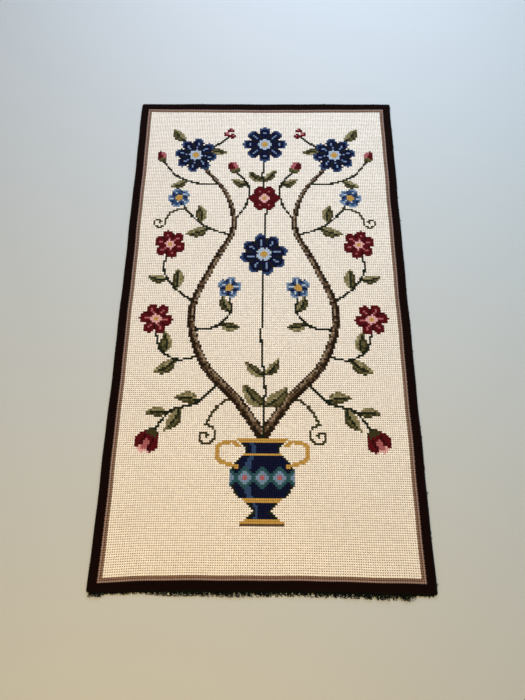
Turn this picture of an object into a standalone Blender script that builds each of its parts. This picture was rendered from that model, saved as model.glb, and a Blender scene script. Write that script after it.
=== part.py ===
"""Arraiolos rug: a canvas worked all over in wool, with a short yarn fringe on its near end.

Metres, +Z up. The rug lies on the floor at z = 0. Its length runs along Y, with the fringed
end at -Y, and the origin is on the floor under the middle of the whole rug.
"""

import math
import random
from collections import namedtuple

import bmesh
import bpy
from mathutils import Matrix, Vector

# One long-armed cross stitch is as long as it is wide
STITCH = 0.005

# Stitches across and along the field with its two-tone line, and of the dark border around it
INNER_ACROSS = 140
INNER_ALONG = 260
BORDER = 4

# How far the wool stands out at the edge, beyond the last stitch of the border
ROLL = 0.0005
CLOTH_WIDTH = (INNER_ACROSS + 2 * BORDER) * STITCH + 2 * ROLL
CLOTH_LENGTH = (INNER_ALONG + 2 * BORDER) * STITCH + 2 * ROLL
HALF_WIDTH = CLOTH_WIDTH / 2
HALF_LENGTH = CLOTH_LENGTH / 2

# The cloth's thickness in its field, and over the hem, where the canvas lies double
FIELD_THICKNESS = 0.0047
HEM_THICKNESS = 0.0055
HEM_WIDTH = 0.022
HEM_STEP = 0.006

# The outline: corners, the distance between its points, and how the cloth has pulled out of true
CORNER_RADIUS = 0.006
LEAST_RADIUS = 0.002
CORNER_STEPS = 3
OUTLINE_STEP = 0.032
SIDE_BOW = 0.0024
NEAR_CORNER_PULL = 0.0048
WAVE_HEIGHT = 0.0006

# A wave along one edge: its height as a share of WAVE_HEIGHT, its length and where it starts
Wave = namedtuple("Wave", "share length start")
LEFT_WAVES = (Wave(1.0, 0.310, 0.04), Wave(0.5, 0.127, 0.01))
RIGHT_WAVES = (Wave(0.8, 0.270, 0.11), Wave(0.7, 0.149, 0.06))
NEAR_WAVES = (Wave(0.7, 0.290, 0.03), Wave(0.5, 0.113, 0.05))
FAR_WAVES = (Wave(0.6, 0.340, 0.09), Wave(0.4, 0.131, 0.02))

# The rounded edge of the cloth from its underside to its top: height, and distance in
Ring = namedtuple("Ring", "height inset")
EDGE_RINGS = (
    Ring(0.0000, 0.0018),
    Ring(0.0013, 0.0003),
    Ring(0.0027, 0.0000),
    Ring(0.0042, 0.0006),
    Ring(0.0051, 0.0018),
    Ring(HEM_THICKNESS, 0.0036),
    Ring(HEM_THICKNESS, HEM_WIDTH),
    Ring(FIELD_THICKNESS, HEM_WIDTH + HEM_STEP),
)

# The fringe: a narrow heading along the near edge, and the strands that are fused to it
FRINGE_GAP = 0.0004
FRINGE_MARGIN = 0.008
HEADING_DEPTH = 0.0026
HEADING_HEIGHT = 0.0022
STRANDS = 124
STRAND_ROOT_WIDTH = 0.0022
STRAND_TIP_WIDTH = 0.0013
STRAND_TIP_HEIGHT = 0.0013
STRAND_SHORTEST = 0.0035
STRAND_LONGEST = 0.0100
STRAND_SEGMENTS = 3
STRAND_LEAN = math.radians(22)
STRAND_CURL = math.radians(26)
STRAND_SEED = 11

# How the strands' lengths and leans change along the edge, in metres for one full swing
LENGTH_SWING = 0.210
LEAN_SWING = 0.150
CURL_SWING = 0.090

# Colours of the wool, and how rough it is
FIELD_CREAM = (0.72, 0.63, 0.50, 1.0)
FRINGE_BLACK = (0.012, 0.014, 0.011, 1.0)
WOOL_ROUGHNESS = 0.9


def clear_objects():
    for old in list(bpy.data.objects):
        bpy.data.objects.remove(old, do_unlink=True)


def wave_offset(waves, distance):
    return sum(
        WAVE_HEIGHT * wave.share * math.sin(math.tau * (distance - wave.start) / wave.length)
        for wave in waves
    )


def pulled(x, y):
    """Where a point of the square-cut cloth lies, with its sides bowed in and its edges uneven."""
    across = x / HALF_WIDTH
    along = y / HALF_LENGTH
    side_waves = RIGHT_WAVES if x > 0 else LEFT_WAVES
    end_waves = FAR_WAVES if y > 0 else NEAR_WAVES
    bow = SIDE_BOW * across * (1 - along**2)
    pull = NEAR_CORNER_PULL * across**2 * max(0.0, -along) ** 2
    moved_x = x - bow + abs(across) ** 3 * wave_offset(side_waves, y)
    moved_y = y - pull + abs(along) ** 3 * wave_offset(end_waves, x)
    return moved_x, moved_y


def corner_arc(centre_x, centre_y, radius, start_angle):
    for step in range(CORNER_STEPS + 1):
        angle = start_angle + math.pi / 2 * step / CORNER_STEPS
        yield centre_x + radius * math.cos(angle), centre_y + radius * math.sin(angle)


def straight_run(start, end, steps):
    """The points between two corners, without the corners' own."""
    for step in range(1, steps):
        share = step / steps
        yield tuple(a + (b - a) * share for a, b in zip(start, end))


def outline(inset):
    """The cloth's outline, this far inside its outermost line, as points in order."""
    radius = max(CORNER_RADIUS - inset, LEAST_RADIUS)
    x = HALF_WIDTH - inset - radius
    y = HALF_LENGTH - inset - radius
    corners = ((x, -y, -math.pi / 2), (x, y, 0.0), (-x, y, math.pi / 2), (-x, -y, math.pi))
    long_steps = round(CLOTH_LENGTH / OUTLINE_STEP)
    short_steps = round(CLOTH_WIDTH / OUTLINE_STEP)
    arcs = [list(corner_arc(cx, cy, radius, angle)) for cx, cy, angle in corners]
    points = []
    for index, arc in enumerate(arcs):
        next_arc = arcs[(index + 1) % len(arcs)]
        steps = long_steps if index % 2 == 0 else short_steps
        points += arc
        points += straight_run(arc[-1], next_arc[0], steps)
    return [pulled(px, py) for px, py in points]


def closed_loop(bm, points, height):
    """The points as a closed loop of vertices at one height."""
    return [bm.verts.new((px, py, height)) for px, py in points]


def bridge(bm, lower, upper):
    """Quads between two loops of as many vertices, each vertex to its own partner."""
    for index, vert in enumerate(lower):
        after = (index + 1) % len(lower)
        bm.faces.new((vert, lower[after], upper[after], upper[index]))


def wool_material(name, colour):
    material = bpy.data.materials.new(name)
    material.use_nodes = True
    shader = material.node_tree.nodes["Principled BSDF"]
    shader.inputs["Base Color"].default_value = colour
    shader.inputs["Roughness"].default_value = WOOL_ROUGHNESS
    shader.inputs["Metallic"].default_value = 0.0
    material.diffuse_color = colour
    return material


def finished_object(bm, name, colour):
    bmesh.ops.recalc_face_normals(bm, faces=bm.faces)
    mesh = bpy.data.meshes.new(name)
    bm.to_mesh(mesh)
    bm.free()
    mesh.materials.append(wool_material(name, colour))
    made = bpy.data.objects.new(name, mesh)
    bpy.context.scene.collection.objects.link(made)
    return made


def make_cloth():
    """The needlework with its hem: flat underneath, round at its edge, a little higher over the hem."""
    bm = bmesh.new()
    loops = [closed_loop(bm, outline(ring.inset), ring.height) for ring in EDGE_RINGS]
    for lower, upper in zip(loops, loops[1:]):
        bridge(bm, lower, upper)
    for end in (loops[0], loops[-1]):
        filled = bmesh.ops.contextual_create(bm, geom=end)
        bmesh.ops.triangulate(bm, faces=filled["faces"], ngon_method="BEAUTY")
    return finished_object(bm, "stitched_cloth", FIELD_CREAM)


def new_verts(result):
    return [item for item in result["geom"] if isinstance(item, bmesh.types.BMVert)]


def new_faces(result):
    return [item for item in result["geom"] if isinstance(item, bmesh.types.BMFace)]


def heading_columns():
    """The places along the near edge where the heading is divided: each strand's two sides."""
    first = -HALF_WIDTH + FRINGE_MARGIN
    pitch = 2 * (HALF_WIDTH - FRINGE_MARGIN) / STRANDS
    side = (pitch - STRAND_ROOT_WIDTH) / 2
    columns = [first]
    for strand in range(STRANDS):
        left = first + strand * pitch
        columns += [left + side, left + pitch - side]
    return columns + [first + STRANDS * pitch]


def swing(distance, length):
    return math.sin(math.tau * distance / length)


def strand_length(x, chance):
    """Longer and shorter tufts follow each other along the edge, and none is quite like the next."""
    share = 0.55 + 0.30 * swing(x + 0.04, LENGTH_SWING) + 0.15 * chance.uniform(-1, 1)
    return STRAND_SHORTEST + (STRAND_LONGEST - STRAND_SHORTEST) * share


def grow_strand(bm, root, chance):
    """One strand from its root in the heading's front: it lies on the floor and curls sideways."""
    place = root.calc_center_median()
    length = strand_length(place.x, chance)
    lean = STRAND_LEAN * swing(place.x, LEAN_SWING)
    curl = STRAND_CURL * swing(place.x - 0.02, CURL_SWING)
    centre = Vector((place.x, place.y, 0.0))
    across = Vector((1.0, 0.0, 0.0))
    for segment in range(1, STRAND_SEGMENTS + 1):
        share = segment / STRAND_SEGMENTS
        heading = lean + curl * share
        width = STRAND_ROOT_WIDTH + (STRAND_TIP_WIDTH - STRAND_ROOT_WIDTH) * share
        height = HEADING_HEIGHT + (STRAND_TIP_HEIGHT - HEADING_HEIGHT) * share
        ahead = Vector((math.sin(heading), -math.cos(heading), 0.0))
        side = Vector((math.cos(heading), math.sin(heading), 0.0))
        next_centre = centre + ahead * (length / STRAND_SEGMENTS)
        tip = bmesh.ops.extrude_discrete_faces(bm, faces=[root])["faces"][0]
        for vert in tip.verts:
            half = math.copysign(width / 2, (vert.co - centre).dot(across))
            level = height if vert.co.z > STRAND_TIP_HEIGHT / 2 else 0.0
            vert.co = next_centre + side * half + Vector((0.0, 0.0, level))
        root, centre, across = tip, next_centre, side


def make_fringe():
    """The heading strip under the near edge, with the strands drawn out of its front."""
    bm = bmesh.new()
    front_line = []
    for x in heading_columns():
        edge_x, edge_y = pulled(x, -HALF_LENGTH)
        front_line.append((edge_x, edge_y - FRINGE_GAP - HEADING_DEPTH, 0.0))
    low = [bm.verts.new(point) for point in front_line]
    edges = [bm.edges.new(pair) for pair in zip(low, low[1:])]
    wall = bmesh.ops.extrude_edge_only(bm, edges=edges)
    bmesh.ops.translate(bm, vec=(0.0, 0.0, HEADING_HEIGHT), verts=new_verts(wall))
    front = new_faces(wall)
    block = bmesh.ops.extrude_face_region(bm, geom=front)
    bmesh.ops.translate(bm, vec=(0.0, HEADING_DEPTH, 0.0), verts=new_verts(block))
    bmesh.ops.recalc_face_normals(bm, faces=bm.faces)
    front.sort(key=lambda face: face.calc_center_median().x)
    chance = random.Random(STRAND_SEED)
    for root in front[1::2]:
        grow_strand(bm, root, chance)
    return finished_object(bm, "near_fringe", FRINGE_BLACK)


def centre_on_floor(pieces):
    """Moves the meshes so that the origin is under the middle of all of them."""
    corners = [vert.co for piece in pieces for vert in piece.data.vertices]
    middle_x = (min(co.x for co in corners) + max(co.x for co in corners)) / 2
    middle_y = (min(co.y for co in corners) + max(co.y for co in corners)) / 2
    for piece in pieces:
        piece.data.transform(Matrix.Translation((-middle_x, -middle_y, 0.0)))


def main():
    clear_objects()
    centre_on_floor([make_cloth(), make_fringe()])


main()
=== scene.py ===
"""Arraiolos rug: the finish of every surface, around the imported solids.

A canvas worked all over in long-armed cross stitch, two arms of yarn for each stitch, with a
coloured chart, a wrapped edge and a curly near fringe. Metres, +Z up, the fringed end at -Y.
"""

import math
from collections import namedtuple

import bpy
import numpy as np
from mathutils import Matrix, Vector


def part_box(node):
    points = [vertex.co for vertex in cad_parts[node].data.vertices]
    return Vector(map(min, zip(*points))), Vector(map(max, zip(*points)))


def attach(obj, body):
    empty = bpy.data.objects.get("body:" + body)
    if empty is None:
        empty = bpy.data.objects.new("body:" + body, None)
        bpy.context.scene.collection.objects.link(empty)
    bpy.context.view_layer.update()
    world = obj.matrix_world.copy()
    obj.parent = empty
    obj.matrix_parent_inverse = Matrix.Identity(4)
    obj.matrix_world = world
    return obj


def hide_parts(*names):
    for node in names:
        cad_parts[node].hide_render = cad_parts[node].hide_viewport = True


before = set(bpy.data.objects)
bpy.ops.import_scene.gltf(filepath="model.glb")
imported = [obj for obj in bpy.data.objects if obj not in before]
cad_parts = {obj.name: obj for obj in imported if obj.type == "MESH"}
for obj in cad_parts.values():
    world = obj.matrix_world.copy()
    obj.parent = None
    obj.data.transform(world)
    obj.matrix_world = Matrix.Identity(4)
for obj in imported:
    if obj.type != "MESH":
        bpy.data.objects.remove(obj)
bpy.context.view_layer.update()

bl_info = {
    "name": "Arraiolos rug",
    "version": (1, 0, 0),
    "blender": (4, 5, 0),
    "location": "View3D > Sidebar > Rug",
    "description": "Works a small needlework rug stitch by stitch on its canvas",
    "category": "Add Mesh",
}

# The rug's own count of stitches, and how wide its dark border and two-tone line are
COLUMNS = 148
ROWS = 268
BORDER = 4
LINE = 2

# The cloth's size before it pulled out of true, with a little wool past its outer stitches
EDGE_WOOL = 0.0005
STITCH = 0.005
HALF_WIDTH = COLUMNS * STITCH / 2 + EDGE_WOOL
HALF_LENGTH = ROWS * STITCH / 2 + EDGE_WOOL

# How the solid pulled out of true: bowed sides, long near corners and waves in every edge
SIDE_BOW = 0.0024
NEAR_CORNER_PULL = 0.0048
WAVE_HEIGHT = 0.0006

# How the worked cloth differs from it. Its rows sag at the near left and dip at the far end, and
# both fade out just before the edge. Its right side is pulled out, most at the far corner
LEFT_CORNER_SAG = 0.0075
FAR_DIP = 0.0038
END_FADE = 40
RIGHT_PULL = 0.0016
RIGHT_PULL_MIDDLE = 1.5

# The round corners and rim, and the hem that stands a little higher. The rim is measured at
# RIM_SAMPLES places
CORNER_RADIUS = 0.005
EDGE_ROUND = 0.0030
MOST_DROP = 0.0022
HEM_WIDTH = 0.022
HEM_STEP = 0.006
HEM_RISE = 0.0008
RIM_SAMPLES = 801

# The canvas: its top under the field's stitches, its underside above the floor, how far it stays
# inside the wrapped edge, and the bevel of its rim
CANVAS_TOP = 0.0034
CANVAS_UNDERSIDE = 0.0003
CANVAS_INSET = 0.0010
CANVAS_BEVEL = 0.0009

# A wave along one edge: its height as a share of WAVE_HEIGHT, its length and where it starts
Wave = namedtuple("Wave", "share length start")
LEFT_WAVES = (Wave(1.0, 0.310, 0.04), Wave(0.5, 0.127, 0.01))
RIGHT_WAVES = (Wave(0.8, 0.270, 0.11), Wave(0.7, 0.149, 0.06))
NEAR_WAVES = (Wave(0.7, 0.290, 0.03), Wave(0.5, 0.113, 0.05))
FAR_WAVES = (Wave(0.6, 0.340, 0.09), Wave(0.4, 0.131, 0.02))


def wave_offset(waves, distance):
    return sum(
        WAVE_HEIGHT * wave.share * np.sin(math.tau * (distance - wave.start) / wave.length)
        for wave in waves
    )


def round_corners(x, y):
    """Squeezes the square corners of the stitch grid into the rug's round ones."""
    centre_x = HALF_WIDTH - CORNER_RADIUS
    centre_y = HALF_LENGTH - CORNER_RADIUS
    out_x = np.abs(x) - centre_x
    out_y = np.abs(y) - centre_y
    corner = (out_x > 0) & (out_y > 0)
    reach = np.maximum(np.hypot(out_x, out_y), 1e-9)
    factor = np.where(corner, np.maximum(out_x, out_y) / reach, 1.0)
    rounded_x = np.sign(x) * (centre_x + out_x * factor)
    rounded_y = np.sign(y) * (centre_y + out_y * factor)
    return np.where(corner, rounded_x, x), np.where(corner, rounded_y, y)


def pulled(x, y):
    """Where a point of the square-cut cloth lies, with its sides bowed in and its edges uneven."""
    across = x / HALF_WIDTH
    along = y / HALF_LENGTH
    side = np.where(x > 0, wave_offset(RIGHT_WAVES, y), wave_offset(LEFT_WAVES, y))
    end = np.where(y > 0, wave_offset(FAR_WAVES, x), wave_offset(NEAR_WAVES, x))
    bow = SIDE_BOW * across * (1 - along**2)
    near = np.clip(-along, 0.0, 1.0)
    far = np.clip(along, 0.0, 1.0)
    pull = NEAR_CORNER_PULL * across**2 * near**2
    sag = LEFT_CORNER_SAG * np.maximum(0.0, -across) ** 6 * near**3 * (1 - near**END_FADE)
    dip = FAR_DIP * (1 - across**2) * far**3 * (1 - far**END_FADE)
    return x - bow + np.abs(across) ** 3 * side, y - pull - sag - dip + np.abs(along) ** 3 * end


def cloth_shift():
    """How far the solid cloth lies from the middle of its own grid, read from its box."""
    low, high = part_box("stitched_cloth")
    edge = np.linspace(-1.0, 1.0, RIM_SAMPLES)
    side_y = edge * (HALF_LENGTH - CORNER_RADIUS)
    end_x = edge * (HALF_WIDTH - CORNER_RADIUS)
    right = pulled(np.full_like(edge, HALF_WIDTH), side_y)[0].max()
    far = pulled(end_x, np.full_like(edge, HALF_LENGTH))[1].max()
    return high[0] - right, high[1] - far


SHIFT_X, SHIFT_Y = cloth_shift()


def settle(x, y):
    """Where a point of the cloth lies in the frame, with its right side pulled out a little."""
    more = RIGHT_PULL_MIDDLE + y / HALF_LENGTH
    out = RIGHT_PULL * np.maximum(0.0, x / HALF_WIDTH) ** 2 * more
    x, y = pulled(x, y)
    return x + out + SHIFT_X, y + SHIFT_Y


def place(x, y):
    """Grid position on the square-cut cloth to its place in the frame."""
    return settle(*round_corners(x, y))


def canvas_height(x, y):
    """The canvas's top: higher over the hem, and rounded down at the edge."""
    inset = np.minimum(HALF_WIDTH - np.abs(x), HALF_LENGTH - np.abs(y))
    step = np.clip((inset - HEM_WIDTH) / HEM_STEP, 0.0, 1.0)
    hem = HEM_RISE * (1 - step * step * (3 - 2 * step))
    inside_round = np.clip(EDGE_ROUND - inset, 0.0, EDGE_ROUND)
    drop = EDGE_ROUND - np.sqrt(EDGE_ROUND**2 - inside_round**2)
    return CANVAS_TOP + hem - np.minimum(drop, MOST_DROP)


def linear(value):
    """A display value from 0 to 255 as scene-linear light."""
    share = value / 255
    if share <= 0.04045:
        return share / 12.92
    return ((share + 0.055) / 1.055) ** 2.4


def wool(use, red, green, blue):
    return bpy.props.FloatVectorProperty(
        name=use,
        subtype="COLOR",
        size=3,
        min=0.0,
        max=1.0,
        default=(linear(red), linear(green), linear(blue)),
    )


class RugColours(bpy.types.PropertyGroup):
    cream: wool("Ground of the field", 248, 240, 225)
    border: wool("Near-black brown border", 20, 7, 5)
    rose_tan: wool("Outer row of the line", 164, 139, 128)
    gold_tan: wool("Inner row of the line", 141, 113, 92)
    navy: wool("Blue petals and the vase", 4, 16, 48)
    blue: wool("Edges of blue petals, and small flowers", 46, 72, 110)
    sky: wool("Veins of blue petals", 118, 144, 174)
    frost: wool("Centres of blue flowers", 174, 192, 208)
    crimson: wool("Red petals, buds and berries", 84, 13, 22)
    garnet: wool("Seams of red petals", 46, 4, 9)
    rose: wool("Veins of red petals", 172, 98, 102)
    blush: wool("Centres of red flowers", 228, 174, 170)
    pine: wool("Thin stems and ribs of leaves", 22, 32, 22)
    moss: wool("Tendrils and shaded edges of leaves", 58, 57, 33)
    olive: wool("Shaded half of leaves", 96, 92, 58)
    sage: wool("Light half of leaves", 132, 126, 90)
    bark_dark: wool("Shaded bark", 34, 25, 16)
    bark: wool("Middle bark", 90, 72, 54)
    bark_light: wool("Lit bark", 146, 128, 106)
    straw: wool("Lightest stitches of leaves", 158, 150, 112)
    edge: wool("Dark yarn wrapped over the edge", 17, 15, 12)
    teal: wool("Diamonds on the vase", 40, 84, 92)
    gold: wool("Hearts of flowers, bands and handles of the vase", 192, 152, 76)
    # The canvas's colour also darkens the wool round the stitches' holes as painted shade
    canvas: wool("Bare canvas between the stitches", 112, 70, 20)
    fringe: wool("Dark yarn of the fringe", 17, 21, 17)


def measure(use, default, low, high):
    return bpy.props.FloatProperty(name=use, default=default, min=low, max=high, unit="LENGTH")


def share(use, default, high):
    return bpy.props.FloatProperty(name=use, default=default, min=0.0, max=high, subtype="FACTOR")


def tally(use, default, low, high):
    return bpy.props.IntProperty(name=use, default=default, min=low, max=high)


class RugSizes(bpy.types.PropertyGroup):
    stitch_rise: measure("Height of the yarn above the canvas", 0.0013, 0.0002, 0.003)
    unevenness: share("How much the yarn's height differs by stitch", 0.14, 0.5)
    shade_spread: share("How much the shade differs by stitch", 0.035, 0.2)
    fringe_strands: tally("Curly ends along the near edge", 640, 10, 800)
    yarn_radius: measure("Radius of a ply of the fringe's yarn", 0.0005, 0.0002, 0.002)
    fringe_hairs: tally("Loose fibres among the fringe", 800, 0, 3000)
    hair_radius: measure("Radius of a loose fibre", 0.00007, 0.00002, 0.0005)


WOOLS = tuple(RugColours.__annotations__)
NUMBER = {name: index for index, name in enumerate(WOOLS)}

Shades = namedtuple("Shades", "body seam rim vein eye heart")
BLUE_FLOWER = Shades("navy", "pine", "blue", "sky", "frost", "gold")
RED_FLOWER = Shades("crimson", "garnet", "crimson", "rose", "blush", "gold")
SMALL_FLOWER = Shades("blue", "navy", "sky", "frost", "gold", "gold")
CHART_SEED = 7


class Chart:
    """Which wool each stitch has. Places are in stitches from the rug's middle."""

    def __init__(self):
        self.wool = np.full((ROWS, COLUMNS), NUMBER["cream"])
        self.y, self.x = np.mgrid[0:ROWS, 0:COLUMNS].astype(float)
        self.x -= (COLUMNS - 1) / 2
        self.y -= (ROWS - 1) / 2
        self.chance = np.random.default_rng(CHART_SEED).random((ROWS, COLUMNS))

    def paint(self, inside, *layers):
        """Works the wool of each layer where it lies inside, one over the other."""
        for name, where in layers:
            self.wool[inside & where] = NUMBER[name]

    def local(self, x, y, turn):
        cos, sin = math.cos(turn), math.sin(turn)
        dx, dy = self.x - x, self.y - y
        return dx * cos + dy * sin, dy * cos - dx * sin

    def mirror(self):
        """Repeats the right half, turned over, on the left."""
        middle = COLUMNS // 2
        self.wool[:, :middle] = self.wool[:, : middle - 1 : -1]

    def frame_lines(self):
        """The two-tone line and the dark border, counted in from the edge."""
        rim = np.minimum(COLUMNS / 2 - np.abs(self.x), ROWS / 2 - np.abs(self.y))
        self.paint(
            rim < BORDER + LINE,
            ("gold_tan", True),
            ("rose_tan", rim < BORDER + LINE - 1),
            ("border", rim < BORDER),
        )


def smooth_curve(points, steps=60):
    """A smooth curve through the points, as many places along it."""
    middle = np.array(points, float)
    ends = (2 * middle[0] - middle[1], 2 * middle[-1] - middle[-2])
    knots = np.concatenate([[ends[0]], middle, [ends[1]]])
    t = np.linspace(0, 1, steps, endpoint=False)[:, None]
    runs = []
    for a, b, c, d in zip(knots, knots[1:], knots[2:], knots[3:]):
        bend = (2 * a - 5 * b + 4 * c - d) * t**2 + (3 * b - a - 3 * c + d) * t**3
        runs.append(0.5 * (2 * b + (c - a) * t + bend))
    return np.concatenate(runs + [middle[-1:]])


def spiral(x, y, radius, turns, start):
    t = np.linspace(0, 1, 120)
    angle = start + turns * math.tau * t
    size = radius * (1 - 0.85 * t)
    return np.stack([x + size * np.cos(angle), y + size * np.sin(angle)], axis=1)


def draw_stem(chart, points, name, width=1.0):
    for px, py in points:
        if width <= 1.0:
            away = np.maximum(np.abs(chart.x - px), np.abs(chart.y - py))
        else:
            away = np.hypot(chart.x - px, chart.y - py)
        chart.paint(away <= width / 2, (name, True))


def draw_bough(chart, points, root_width, tip_width):
    """A woody stem: lit on its left, dark on its right and mottled all along."""
    ahead = np.gradient(points, axis=0)
    ahead /= np.linalg.norm(ahead, axis=1)[:, None]
    halves = np.linspace(root_width, tip_width, len(points)) / 2
    away = np.hypot(chart.x[..., None] - points[:, 0], chart.y[..., None] - points[:, 1])
    nearest = away.argmin(axis=2)
    half = halves[nearest]
    dx = chart.x - points[nearest, 0]
    dy = chart.y - points[nearest, 1]
    side = (dx * ahead[nearest, 1] - dy * ahead[nearest, 0]) / half
    chart.paint(
        np.hypot(dx, dy) <= half,
        ("bark", True),
        ("bark_light", (side < -0.15) & (chart.chance < 0.62)),
        ("bark_dark", (side > 0.1) & (chart.chance < 0.75)),
        ("bark_dark", chart.chance > 0.86),
        ("bark_dark", (np.abs(side) > 0.72) & (chart.chance < 0.8)),
    )


def draw_flower(chart, x, y, radius, petals, turn, shades):
    """An open flower from the front, with a seam between petals and a vein down each."""
    u, v = chart.local(x, y, turn)
    far = np.hypot(u, v)
    lobe = np.abs(np.cos(petals * np.arctan2(v, u) / 2))
    edge = radius * (0.66 + 0.36 * lobe**0.55)
    chart.paint(
        far < edge,
        (shades.body, True),
        (shades.seam, (lobe < 0.24) & (far > 0.30 * radius)),
        (shades.rim, (far > edge - 1.4) & (lobe > 0.55)),
        (shades.vein, (lobe > 0.965) & (far > 0.40 * radius) & (far < 0.74 * radius)),
        (shades.eye, far < 0.34 * radius * (0.75 + 0.25 * lobe)),
        (shades.heart, far < 0.13 * radius + 0.3),
    )


def draw_leaf(chart, x, y, length, width, turn, bend):
    """A pointed leaf with a dark rib, one half light and the other shaded."""
    u, v = chart.local(x, y, turn)
    along = u / length
    v = v - bend * length * 4 * along * (1 - along)
    belly = np.sin(np.pi * np.clip(along, 0, 1) ** 0.85)
    half = width / 2 * np.clip(belly, 0, 1) ** 0.8
    light = v > 0.3
    chart.paint(
        (along > 0) & (along < 1) & (np.abs(v) <= half),
        ("olive", True),
        ("sage", light),
        ("straw", light & (chart.chance > 0.78)),
        ("olive", light & (chart.chance < 0.16)),
        ("moss", (v < 0.3) & (chart.chance > 0.74)),
        ("moss", (v < 1.0 - half) & (half > 1.6)),
        ("pine", (along < 0.8) & (np.abs(v) < 0.5) & (half > 0.9)),
    )


Leaf = namedtuple("Leaf", "share side length width")
LEAF_OPEN = 0.80
LEAF_BEND = 0.09


def grow(chart, places, leaves):
    """A thin stem through the places with its leaves, each to its left (1) or right (-1)."""
    points = smooth_curve(places)
    ahead = np.gradient(points, axis=0)
    for leaf in leaves:
        index = round(leaf.share * (len(points) - 1))
        turn = math.atan2(ahead[index, 1], ahead[index, 0]) + leaf.side * LEAF_OPEN
        draw_leaf(chart, *points[index], leaf.length, leaf.width, turn, LEAF_BEND * leaf.side)
    draw_stem(chart, points, "pine")


def draw_tulip(chart, x, y, size, turn):
    """A cup-shaped flower from the side, with a green foot and pale tips."""
    u, v = chart.local(x, y, turn)
    along = u / size
    swell = np.sin(np.pi * np.clip(along * 0.72 + 0.16, 0, 1))
    notch = 0.80 + 0.20 * np.abs(np.cos(3 * np.pi * v / size))
    chart.paint(
        (along > 0) & (along < notch) & (np.abs(v) < size * 0.52 * swell),
        ("crimson", True),
        ("garnet", (np.abs(np.abs(v) - size * 0.2) < 0.55) & (along > 0.25)),
        ("rose", (np.abs(v) < size * 0.12) & (along > 0.35)),
        ("blush", along > notch - 0.14),
    )
    chart.paint((along > -0.12) & (along < 0.16), ("moss", np.abs(v) < size * 0.24))


def draw_bud(chart, x, y, size, turn):
    """A closed red bud from the side, in its green cup."""
    u, v = chart.local(x, y, turn)
    along = u / size
    half = size * 0.33 * np.sqrt(np.clip(1 - (2 * along - 0.95) ** 2, 0, 1))
    bud = (along > 0) & (along < 1) & (np.abs(v) < half)
    cup = (along > -0.05) & (np.abs(v) < half + 0.2)
    chart.paint(bud, ("crimson", True), ("rose", (v > 0.3) & (along > 0.35)))
    chart.paint(cup, ("olive", along < 0.36), ("moss", along < 0.20))


def draw_berries(chart, x, y):
    for dx, dy in ((0.0, 0.0), (3.6, 1.4), (1.0, 4.4)):
        u, v = chart.x - x - dx, chart.y - y - dy
        lit = np.hypot(u + 0.6, v - 0.6) < 0.75
        chart.paint(np.hypot(u, v) < 1.75, ("crimson", True), ("rose", lit))


# The vase in stitches: its profile from foot to lip, its gold bands, its handle and diamonds
VASE_HEIGHTS = (-108, -106.5, -105, -102, -99, -95, -90, -85, -80, -76, -73, -71, -69)
VASE_HALVES = (10, 10, 7, 4, 6, 11.5, 15, 15.5, 12.5, 8.5, 8, 10.5, 12)
VASE_BANDS = ((-71.2, -69.0), (-77.1, -75.9), (-97.6, -96.4), (-106.6, -105.0))
VASE_FOOT = -106.6
VASE_HANDLE = ((12, -82), (20, -79), (21, -73), (15, -70.5), (11, -72.5))
HANDLE_WIDTH = 1.9
DIAMOND_HEIGHT = -87
DIAMOND_STEP = 8


def draw_vase(chart):
    """A footed vase with two handles, turned from the half widths of its profile."""
    half = np.interp(chart.y, VASE_HEIGHTS, VASE_HALVES, left=-1, right=-1)
    away = np.abs(chart.x)
    beside = np.abs((chart.x + COLUMNS) % DIAMOND_STEP - DIAMOND_STEP / 2)
    diamond = beside + np.abs(chart.y - DIAMOND_HEIGHT)
    chart.paint(
        away <= half,
        ("navy", True),
        ("pine", away > half - 1.3),
        ("blue", (chart.x < -0.38 * half) & (chart.x > -0.62 * half)),
        *(("gold", (chart.y > low) & (chart.y < high)) for low, high in VASE_BANDS),
        ("bark", chart.y < VASE_FOOT),
        ("teal", diamond < 5.2),
        ("sky", diamond < 3.4),
        ("rose", diamond < 1.6),
    )
    for side in (1, -1):
        handle = smooth_curve([(side * x, y) for x, y in VASE_HANDLE])
        draw_stem(chart, handle, "gold", HANDLE_WIDTH)


# The right half's thin stems, under the bough and over it: the places along each, then its
# leaves, with the share of the way along, the side, the length and the width
STEMS_UNDER = (
    (((32, -28), (43, -30), (52, -24), (55, -12)), (Leaf(0.35, -1, 13, 6), Leaf(0.55, 1, 12, 6))),
    (
        ((22, -42), (32, -52), (44, -56), (52, -66)),
        (Leaf(0.30, 1, 12, 6), Leaf(0.55, -1, 13, 6), Leaf(0.72, 1, 11, 5)),
    ),
    (((37, 2), (47, 10), (53, 20), (52, 32)), (Leaf(0.30, 1, 12, 6), Leaf(0.50, -1, 11, 5))),
    (((18, 42), (30, 46), (40, 54), (47, 64)), (Leaf(0.35, -1, 13, 6), Leaf(0.50, 1, 12, 6))),
    (((34, -14), (24, -12), (17, -4), (18, 6)), (Leaf(0.40, 1, 11, 5), Leaf(0.65, -1, 11, 5))),
    (((16, 52), (10, 62), (9, 74), (16, 84)), (Leaf(0.45, 1, 9, 4), Leaf(0.70, -1, 10, 5))),
)
STEMS_OVER = (
    (((27, 76), (38, 76), (50, 81), (59, 92)), (Leaf(0.5, -1, 10, 5),)),
    (((36, 98), (27, 104), (21, 110)), (Leaf(0.2, 1, 11, 5),)),
)
BOUGH = ((1.5, -66), (13, -50), (30, -31), (37, -4), (27, 24), (17, 46), (21, 68), (34, 86))
BOUGH_ROOT = 5.4
BOUGH_TIP = 2.2
TENDRILS = (
    spiral(27, -68, 5.5, 1.25, 1.6),
    smooth_curve([(14, -48), (22, -54), (27, -62.5)]),
    spiral(58, 50, 3.8, 1.1, 3.4),
    smooth_curve([(43.5, 59), (50, 57.5), (53.5, 54), (54.3, 49)]),
)

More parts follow.
